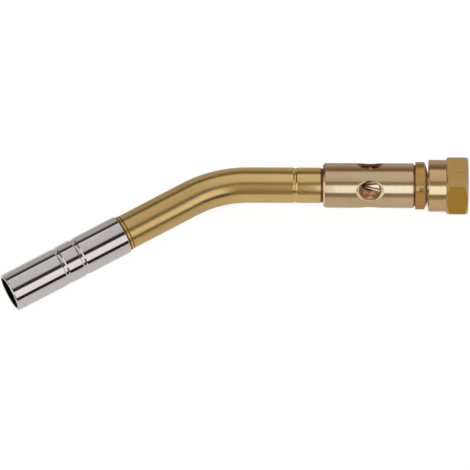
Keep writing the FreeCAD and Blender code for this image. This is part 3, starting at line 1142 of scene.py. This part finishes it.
def makeTailNipple():
    size = tailNipple
    back, front = span("tail_nipple")
    flangeRadius = halfHeight("tail_nipple")
    flangeBack = slipFront + size["flangeFrom"]
    filterBack, filterFront = span("inlet_filter")
    bore = size["filterRadius"]
    seat = size["clipSeat"]
    grooveFloor = front - size["ringGrooveDepth"]
    corners = [
        (back, size["gasBore"], softEdge),
        (back, size["spigotRadius"], size["stemEdge"]),
        (hexFront, size["spigotRadius"], 0),
        (hexFront, size["stemRadius"], 0),
        (flangeBack, size["stemRadius"], size["stemEdge"]),
        (flangeBack, flangeRadius, wideEdge),
        (front, flangeRadius, size["flangeEdge"]),
        (front, size["ringGrooveOuter"], keenEdge),
        (grooveFloor, size["ringGrooveOuter"], 0),
        (grooveFloor, size["ringGrooveInner"], 0),
        (front, size["ringGrooveInner"], keenEdge),
        (front, bore, wideEdge)]
    for step in range(size["clipSteps"] + 1):
        turn = math.pi * step / size["clipSteps"]
        x = filterFront + seat + seat * math.cos(turn)
        corners.append((x, bore + seat * math.sin(turn), 0))
    corners += [(filterBack, bore, 0), (filterBack, size["gasBore"], 0)]
    piece = lathe("tailNipple", "tail_nipple", softened(corners), turnedBrass("nippleBrass"))
    drillForPin(piece)


def makeInletFilter():
    # the face towards the inlet is rough with sintered grains
    size = inletFilter
    back, front = span("inlet_filter")
    radius = tailNipple["filterRadius"]
    faceRadius = radius - size["edge"]
    columns = roundColumns(size["columns"])
    random.seed(size["seed"])
    rings = ringsOf(columns, [(back, 0), (back, radius), (front - size["edge"], radius)])
    for row in range(size["rows"]):
        reach = faceRadius * (1 - row / size["rows"])
        ring = []
        for angle, _ in columns:
            inset = random.random() * size["roughness"]
            ring.append(Vector((front - inset, reach * math.cos(angle), reach * math.sin(angle))))
        rings.append(ring)
    rings += ringsOf(columns, [(front - size["roughness"], 0)])
    mesh = startMesh()
    addSkin(mesh, rings)
    finishPiece(mesh, "inletFilter", "inlet_filter", "torch",
                sinteredBronze("filterBronze", size["grain"]), straightPlace, sharp=70)


makeTailNipple()
makeInletFilter()
refinish("filter_clip", mottled("clipSteel", steelLook, onFrame=True))
refinish("seat_o_ring", mottled("ringRubber", rubberLook, onFrame=True))


couplingNut = {
    "acrossFlats": 22.0,
    "hexLength": 8.7,
    "perFlat": 18,
    "chamferShare": 0.95,     # circle left on the hexagon's ends, as a share of acrossFlats
    "chamferAngle": 30.0,
    "collarRadius": 10.2,
    "collarFillet": 0.5,
    "boreRadius": 5.09,
    "counterbore": 7.575,
    "reliefRadius": 8.45,
    "reliefWidth": 2.0,
    "threadLength": 6.0,
    "threadMinor": 7.475,
    "threadMajor": 8.33,
    "threadPitch": 1.337,
    "threadFlat": 0.14,       # of the crest and of the root, over the pitch
    "threadRows": 61,         # of points along the thread
    "leadIn": 0.8,
    "cornerEdge": 0.55,       # degrees
    "edge": 0.07,
    "colour": (0.560, 0.350, 0.125),
    "tarnish": (0.510, 0.310, 0.100),
    "paintedSide": (1.060, 0.940, 0.520),    # painted reflection tint: the side facing -Y made a deeper yellow, by this much
    "turned": (0.645, 0.437, 0.231),
    "turnedTarnish": (0.610, 0.402, 0.202),
    "turnedRoughness": (0.15, 0.21),
    "coneColour": (0.620, 0.470, 0.280),
    "coneRoughness": 0.30,
    "coneMetal": 0.85,
}
chamferRadius = couplingNut["chamferShare"] * couplingNut["acrossFlats"] / 2
chamferSlope = math.tan(math.radians(couplingNut["chamferAngle"]))


def threadRadius(x, angle):
    # left hand, as fuel gas fittings are: flat crest and root, sloping flanks
    size = couplingNut
    phase = (x / size["threadPitch"] + angle / (2 * math.pi)) % 1
    slope = (abs(2 * phase - 1) - size["threadFlat"]) / (1 - 2 * size["threadFlat"])
    depth = size["threadMajor"] - size["threadMinor"]
    return size["threadMinor"] + max(depth * min(1, max(0, slope)), x)


def nutOutline(angle, reach):
    size = couplingNut
    hexBackX = nutFace - size["hexLength"]
    drop = (reach - chamferRadius) * chamferSlope
    threadEnd = -size["threadLength"]
    reliefX = threadEnd - size["reliefWidth"]
    edge = size["edge"]
    outline = softened([
        (nutFace, size["threadMinor"] + size["leadIn"], 0),
        (nutFace, chamferRadius, edge),
        (nutFace - drop, reach, edge),
        (hexBackX + drop, reach, edge),
        (hexBackX, chamferRadius, edge),
        (hexBackX, size["collarRadius"], 0),
        (collarBack, size["collarRadius"], size["collarFillet"]),
        (collarBack, size["boreRadius"], wideEdge),
        (slipBack, size["boreRadius"], 0),
        (slipBack, size["counterbore"], 0),
        (reliefX, size["counterbore"], 0),
        (reliefX, size["reliefRadius"], 0),
        (threadEnd, size["reliefRadius"], 0)])
    for row in range(size["threadRows"]):
        x = threadEnd + (nutFace - threadEnd) * row / size["threadRows"]
        outline.append(Vector((x, threadRadius(x, angle))))
    return outline


def makeCouplingNut():
    size = couplingNut
    columns = hexColumns(size["acrossFlats"], 0, size["cornerEdge"], size["perFlat"])
    cone = {"middle": nutFace - size["hexLength"] / 2, "half": size["hexLength"] / 2,
            "radius": chamferRadius, "slope": chamferSlope, "bothEnds": True}
    finish = barBrass("nutBrass", size, size["collarRadius"], cone)
    lathe("couplingNut", "coupling_nut", nutOutline, finish, upright, "nut",
          columns=columns)


makeCouplingNut()
print("all pieces made")


studio = {
    # level of light round the x axis, by degrees from +Y over the top towards -Y;
    # shade is the tint of its dimmest parts, edges are shares of x in a ray's direction
    "slanting": {
        "shade": (1.0, 0.83, 0.60),
        "levels": ((-180, 0.72), (-90, 0.60), (0, 0.64), (12, 0.60), (18, 0.48), (24, 0.30),
                   (29, 0.05), (41, 0.05), (44, 0.92), (55, 0.82), (75, 0.70), (97, 0.60),
                   (99, 0.05), (115, 0.05), (119, 1.20), (156, 1.15), (160, 0.02),
                   (180, 0.02)),
    },
    # the front softbox doesn't reach light that leaves square to the x axis
    "square": {
        "shade": (1.06, 0.67, 0.34),
        "edges": (-0.22, -0.12, 0.17, 0.24),
        "levels": ((-180, 0.72), (-90, 0.60), (-5, 0.50), (6, 0.44), (15, 0.32), (23, 0.24),
                   (30, 0.22), (40, 0.22), (43, 0.84), (60, 0.78), (80, 0.76), (97, 0.72),
                   (99, 0.32), (116, 0.34), (119, 0.48), (140, 0.44), (152, 0.33),
                   (160, 0.26), (170, 0.31), (180, 0.44)),
    },
    # light that comes mostly along x, from the right and from the left
    "right": {
        "shade": (1.0, 0.80, 0.60),
        "edges": (0.63, 0.70),
        "levels": ((-180, 0.05), (-30, 0.10), (68, 0.10), (78, 0.75), (160, 0.75),
                   (168, 0.05), (180, 0.05)),
    },
    "left": {
        "shade": (1.0, 0.80, 0.60),
        "edges": (-0.42, -0.50),
        "levels": ((-180, 0.15), (-30, 0.12), (60, 0.15), (90, 0.20), (106, 1.10),
                   (163, 1.10), (171, 0.20), (180, 0.20)),
    },
    "ends": ((0.91, 0.95, 0.75), (-0.91, -0.95, 0.80)),   # edges and plain level
    "whiteFrom": 0.7,         # the level from which light has no tint
}


def ramped(tree, source, stops):
    # a colour ramp with these (position, colour) stops
    ramp = shaderNode(tree, "ValToRGB", {"Fac": source})
    elements = ramp.color_ramp.elements
    elements.remove(elements[-1])
    for index, (position, colour) in enumerate(stops):
        stop = elements[0] if index == 0 else elements.new(position)
        stop.position = position
        stop.color = (*colour, 1)
    return ramp.outputs["Color"]


def studioLight(tree, place, name):
    stops = []
    for degrees, level in studio[name]["levels"]:
        white = min(1, level / studio["whiteFrom"])
        colour = [level * (tint + (1 - tint) * white) for tint in studio[name]["shade"]]
        stops.append((0.5 + degrees / 360, colour))
    return ramped(tree, place, stops)


def bareTree(owner, kind):
    # an empty node tree, and the socket that takes its finished shader
    owner.use_nodes = True
    owner.node_tree.nodes.clear()
    output = shaderNode(owner.node_tree, "Output" + kind)
    return owner.node_tree, output.inputs["Surface"]


def shaderMix(tree, share, first, second):
    return shaderNode(tree, "MixShader", {0: share, 1: first, 2: second}).outputs["Shader"]


def makeWorld():
    world = bpy.data.worlds.new("studio")
    bpy.context.scene.world = world
    tree, surface = bareTree(world, "World")
    along, across, up = parts(tree, shaderNode(tree, "TexCoord").outputs["Generated"])
    place = remap(tree, maths(tree, "ARCTAN2", up, across), -math.pi, math.pi)
    leftStart, leftFull, rightFull, rightEnd = studio["square"]["edges"]
    square = product(tree, remap(tree, along, leftStart, leftFull),
                     remap(tree, along, rightFull, rightEnd, 1, 0))
    level = mixed(tree, square, studioLight(tree, place, "slanting"),
                  studioLight(tree, place, "square"))
    for name in ("right", "left"):
        share = remap(tree, along, *studio[name]["edges"])
        level = mixed(tree, share, level, studioLight(tree, place, name))
    for start, full, plain in studio["ends"]:
        level = mixed(tree, remap(tree, along, start, full), level, plain)
    lit = shaderNode(tree, "Background", {"Color": level}).outputs["Background"]
    white = shaderNode(tree, "Background", {"Color": (1, 1, 1)}).outputs["Background"]
    seen = shaderNode(tree, "LightPath").outputs["Is Camera Ray"]
    tree.links.new(shaderMix(tree, seen, lit, white), surface)


def plainSheet(name, corners, material):
    data = bpy.data.meshes.new(name)
    data.from_pydata(corners, [], [tuple(range(len(corners)))])
    data.materials.append(material)
    sheet = linkedObject(name, data)
    return sheet


softbox = {
    "from": 118.0,            # degrees from +Y over the top
    "to": 155.5,
    "distance": 80.0,
    "left": -57.5,
    "right": 20.0,
    "colour": (1.42, 1.72, 2.02),
}


def makeSoftbox():
    # out of the camera's sight, but metal sees it
    material = bpy.data.materials.new("softbox")
    tree, surface = bareTree(material, "Material")
    glow = shaderNode(tree, "Emission", {"Color": softbox["colour"]})
    tree.links.new(glow.outputs["Emission"], surface)
    halfTurn = math.radians((softbox["to"] - softbox["from"]) / 2)
    reach = softbox["distance"] * mm / math.cos(halfTurn)
    corners = []
    for side, edge in (("left", "from"), ("right", "from"), ("right", "to"), ("left", "to")):
        angle = math.radians(softbox[edge])
        corners.append((softbox[side] * mm, reach * math.cos(angle), reach * math.sin(angle)))
    sheet = plainSheet("softbox", corners, material)
    sheet.visible_camera = False
    sheet.visible_diffuse = False
    sheet.visible_shadow = False
    sheet.visible_transmission = False


floor = {
    "half": 4000.0,
    "drop": 0.1,              # below the torch
    "colour": (0.86, 0.86, 0.86),
    "seen": 0.22,             # share of the paper's own shading that the camera sees
    "lift": 0.92,             # the rest of its brightness, for the camera
    "shine": (0.30, 0.22),    # and in reflections, under the flame tube and under the body
    "shineTint": (1.0, 0.97, 0.86),   # of the latter
    "bodyFrom": (-125.0, -95.0),      # where one turns into the other along x
    "bodyEnd": (30.0, 80.0),
    "front": (-5.0, 15.0),    # reflections find the floor only in front of the torch,
    "reach": (-290.0, -190.0),        # and no further forward than this,
    "bodyReach": (-800.0, -400.0),    # or this beside the body
    # how near a piece dims the lift, where it stands before the softbox
    "shadow": {"reach": 8.0, "side": 140.0, "samples": 8,
               "levels": ((0.0, 0.05), (0.50, 0.08), (0.60, 0.95), (0.75, 1.0))},
    "strip": {"y": 5.0, "half": 6.5, "ends": 12.0},     # contact shadow below the body
    "stripTone": (0.30, 0.165, 0.09),                   # paper there, warmed by the brass
}


def nearShadow(tree):
    # how much of the lift is left where a piece is close
    shadow = floor["shadow"]
    side = math.radians(shadow["side"])
    towards = shaderNode(tree, "CombineXYZ", {"Y": math.cos(side), "Z": math.sin(side)})
    near = shaderNode(tree, "AmbientOcclusion", {"Distance": shadow["reach"] * mm,
                                                 "Normal": towards.outputs["Vector"]},
                      samples=shadow["samples"])
    stops = [(openness, (level,) * 3) for openness, level in shadow["levels"]]
    return ramped(tree, near.outputs["AO"], stops)


def contactStrip(tree, x, y):
    # 1 in the strip below the body
    strip = floor["strip"]
    ends = strip["ends"]
    away = maths(tree, "ABSOLUTE", maths(tree, "SUBTRACT", y, strip["y"] * mm))
    return product(tree, rises(tree, x, bodyBack - ends, bodyBack), falls(tree, x, -ends, 0),
                   falls(tree, away, strip["half"] / 2, strip["half"]))


def makeFloor():
    # white to the camera but for the shadows; metal sees only the part in front of it
    material = bpy.data.materials.new("floorSheet")
    tree, surface = bareTree(material, "Material")
    x, y, _ = parts(tree, shaderNode(tree, "TexCoord").outputs["Object"])
    rays = shaderNode(tree, "LightPath").outputs
    seen = rays["Is Camera Ray"]
    mirrored = maths(tree, "MAXIMUM", rays["Is Glossy Ray"], rays["Is Transmission Ray"])
    underBody = rises(tree, x, *floor["bodyFrom"])
    besideBody = product(tree, underBody, falls(tree, x, *floor["bodyEnd"]))
    reach = mixed(tree, besideBody, rises(tree, y, *floor["reach"]),
                  rises(tree, y, *floor["bodyReach"]))
    strip = contactStrip(tree, x, y)

    shine = product(tree, falls(tree, y, *floor["front"]),
                    remap(tree, underBody, 0, 1, *floor["shine"]), reach)
    strength = maths(tree, "ADD", product(tree, seen, floor["lift"]),
                     product(tree, mirrored, shine))
    openness = product(tree, nearShadow(tree), maths(tree, "SUBTRACT", 1.0, strip))
    tint = mixed(tree, product(tree, mirrored, underBody), 1.0, floor["shineTint"])
    lift = shaderNode(tree, "Emission", {"Color": tint,
                                         "Strength": product(tree, strength, openness)})

    colour = mixed(tree, strip, floor["colour"], floor["stripTone"])
    paper = shaderNode(tree, "BsdfDiffuse", {"Color": colour}).outputs["BSDF"]
    dark = shaderNode(tree, "Emission", {"Strength": 0.0}).outputs["Emission"]
    within = maths(tree, "MAXIMUM", reach, maths(tree, "SUBTRACT", 1.0, mirrored))
    share = product(tree, remap(tree, seen, 0, 1, 1, floor["seen"]), within)
    both = shaderNode(tree, "AddShader", {0: shaderMix(tree, share, dark, paper),
                                          1: lift.outputs["Emission"]}).outputs["Shader"]

    # from below the floor is clear, so the underside can be looked at
    clear = shaderNode(tree, "BsdfTransparent").outputs["BSDF"]
    below = product(tree, shaderNode(tree, "NewGeometry").outputs["Backfacing"], seen)
    tree.links.new(shaderMix(tree, below, both, clear), surface)
    half = floor["half"] * mm
    z = cadLow.z - floor["drop"] * mm
    corners = [(-half, -half, z), (half, -half, z), (half, half, z), (-half, half, z)]
    plainSheet("floorSheet", corners, material)


camera = {
    "azimuth": 2.3965,        # degrees, 0 looks along +Y
    "elevation": 62.4912,
    "roll": -1.9076,
    "distance": 2400.0,
    "right": -91.0464,        # the aim point from the origin, along the picture
    "up": -19.3621,
    "lens": 466.6,
    "sensor": 36.0,
    "clip": (50.0, 50000.0),
}


def makeCamera():
    azimuth = math.radians(camera["azimuth"])
    elevation = math.radians(camera["elevation"])
    roll = math.radians(camera["roll"])
    back = Vector((math.sin(azimuth) * math.cos(elevation),
                   -math.cos(azimuth) * math.cos(elevation), math.sin(elevation)))
    level = Vector((math.cos(azimuth), math.sin(azimuth), 0))
    upwards = back.cross(level)
    right = level * math.cos(roll) + upwards * math.sin(roll)
    up = upwards * math.cos(roll) - level * math.sin(roll)
    data = bpy.data.cameras.new("camera")
    data.lens = camera["lens"]
    data.sensor_width = camera["sensor"]
    data.clip_start = camera["clip"][0] * mm
    data.clip_end = camera["clip"][1] * mm
    place = right * camera["right"] + up * camera["up"] + back * camera["distance"]
    turn = Matrix((right, up, back)).transposed().to_4x4()
    viewer = linkedObject("camera", data)
    viewer.matrix_world = Matrix.Translation(place * mm) @ turn
    bpy.context.scene.camera = viewer


makeWorld()
makeSoftbox()
makeFloor()
makeCamera()
bpy.context.scene.view_settings.view_transform = "Standard"
print("studio set")
